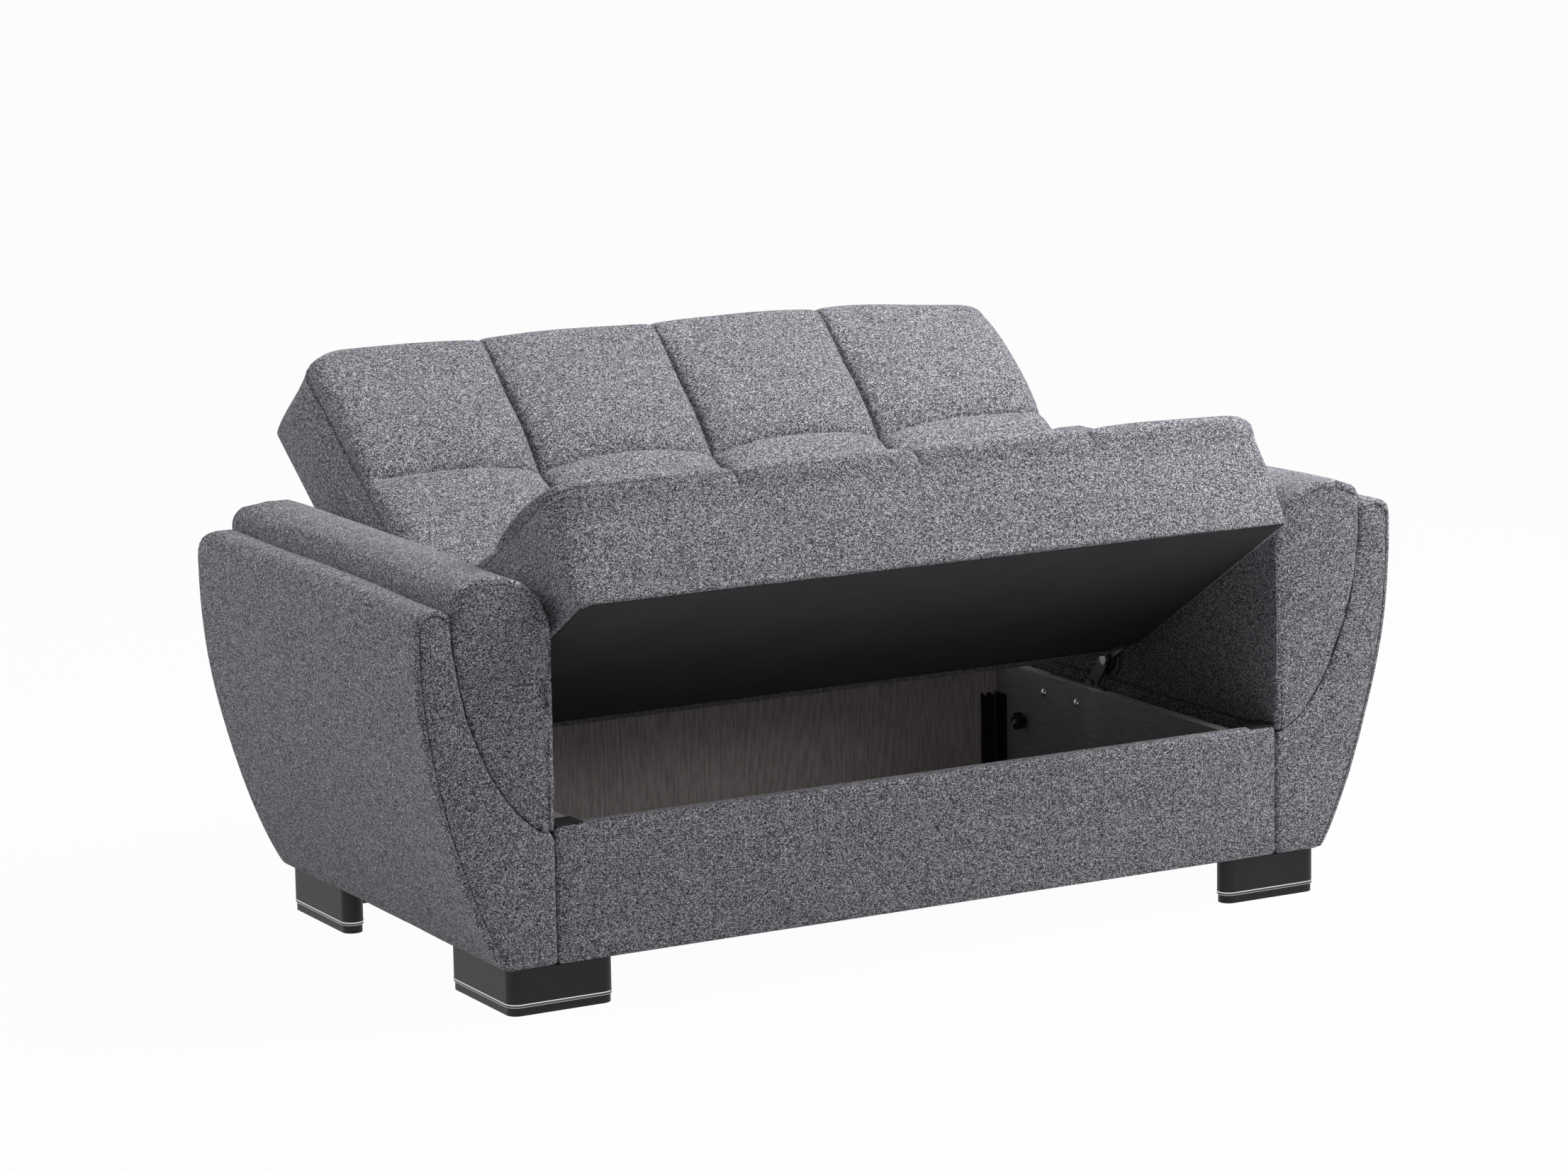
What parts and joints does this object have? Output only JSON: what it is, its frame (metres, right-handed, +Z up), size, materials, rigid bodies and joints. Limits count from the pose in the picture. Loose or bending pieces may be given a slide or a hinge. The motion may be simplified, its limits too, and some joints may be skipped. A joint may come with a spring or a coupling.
{
  "type": "sleeper loveseat",
  "caption": "Upholstered two-seat sleeper sofa with curved arms, click-clack reclining back and a seat that lifts on swing links over a storage box.",
  "frame": {"origin": "on the floor, below the middle of the resting object's bounding box", "axes": "+X to the right along the length, +Y to the rear, +Z up"},
  "size_m": [1.708, 1.0559, 0.859],
  "materials": {
    "tweed": "heather grey woven tweed",
    "board": "wood-grain melamine",
    "rail_wood": "planed softwood",
    "black_plastic": "moulded, satin",
    "chrome": "polished",
    "plated_steel": "zinc plated",
    "black_steel": "black powder coat",
    "spring_steel": "oiled wire",
    "dust_cloth": "black non-woven"
  },
  "bodies": {
    "base": {"front_panel": "tweed", "rear_panel": "board", "side_panel_left": "board", "side_panel_right": "board", "floor_panel": "board", "corner_posts": "black_plastic", "corner_caps": "black_plastic", "arm_shell_left": "tweed", "arm_shell_right": "tweed", "arm_pad_left": "tweed", "arm_pad_right": "tweed", "spacer_rail_left": "rail_wood", "spacer_rail_right": "rail_wood", "arm_bolts": "plated_steel", "star_knobs": "black_plastic", "foot_front_left": "black_plastic", "foot_front_right": "black_plastic", "foot_rear_left": "black_plastic", "foot_rear_right": "black_plastic", "foot_rings": "chrome", "foot_glides": "black_plastic", "foot_bolts": "plated_steel", "bracket_left": "black_steel", "bracket_right": "black_steel", "bracket_bolts": "plated_steel", "link_pivots": "plated_steel"},
    "links": {"swing_link_left": "black_steel", "swing_link_right": "black_steel"},
    "hinge_pins": {"hinge_pin_left": "plated_steel", "hinge_pin_right": "plated_steel"},
    "seat": {"seat_frame": "black_steel", "seat_springs": "spring_steel", "seat_cushion": "tweed", "seat_dust_cover": "dust_cloth", "seat_plate_left": "black_steel", "seat_plate_right": "black_steel", "seat_plate_bolts": "plated_steel"},
    "pawls": {"pawl_left": "plated_steel", "pawl_right": "plated_steel"},
    "back": {"back_frame": "black_steel", "back_springs": "spring_steel", "back_cushion": "tweed", "back_cover": "tweed", "back_plate_left": "black_steel", "back_plate_right": "black_steel", "back_plate_bolts": "plated_steel"}
  },
  "joints": [
    {"name": "link_swing", "type": "hinge", "parent": "base", "child": "links", "pos_m": [0, 0.0089, 0.264], "axis": [-1, 0, 0], "range_deg": [-1, 108.5]},
    {"name": "seat_lift", "type": "hinge", "parent": "links", "child": "seat", "pos_m": [0, -0.03453, 0.31762], "axis": [-1, 0, 0], "range_deg": [-139.1, 0]},
    {"name": "pin_level", "type": "hinge", "parent": "seat", "child": "hinge_pins", "pos_m": [0, -0.03453, 0.31762], "axis": [-1, 0, 0], "range_deg": [-1, 32.6]},
    {"name": "pawl_lift", "type": "hinge", "parent": "seat", "child": "pawls", "pos_m": [0, -0.06978, 0.35575], "axis": [1, 0, 0], "range_deg": [0, 12], "stiffness_Nm_per_rad": 0.5},
    {"name": "back_recline", "type": "hinge", "parent": "hinge_pins", "child": "back", "pos_m": [0, -0.03453, 0.31762], "axis": [-1, 0, 0], "range_deg": [-31.6, 36.5]}
  ],
  "couplings": [
    {"joint": "link_swing", "follows": "seat_lift", "ratio": -0.77283},
    {"joint": "pin_level", "follows": "seat_lift", "ratio": -0.22717}
  ]
}
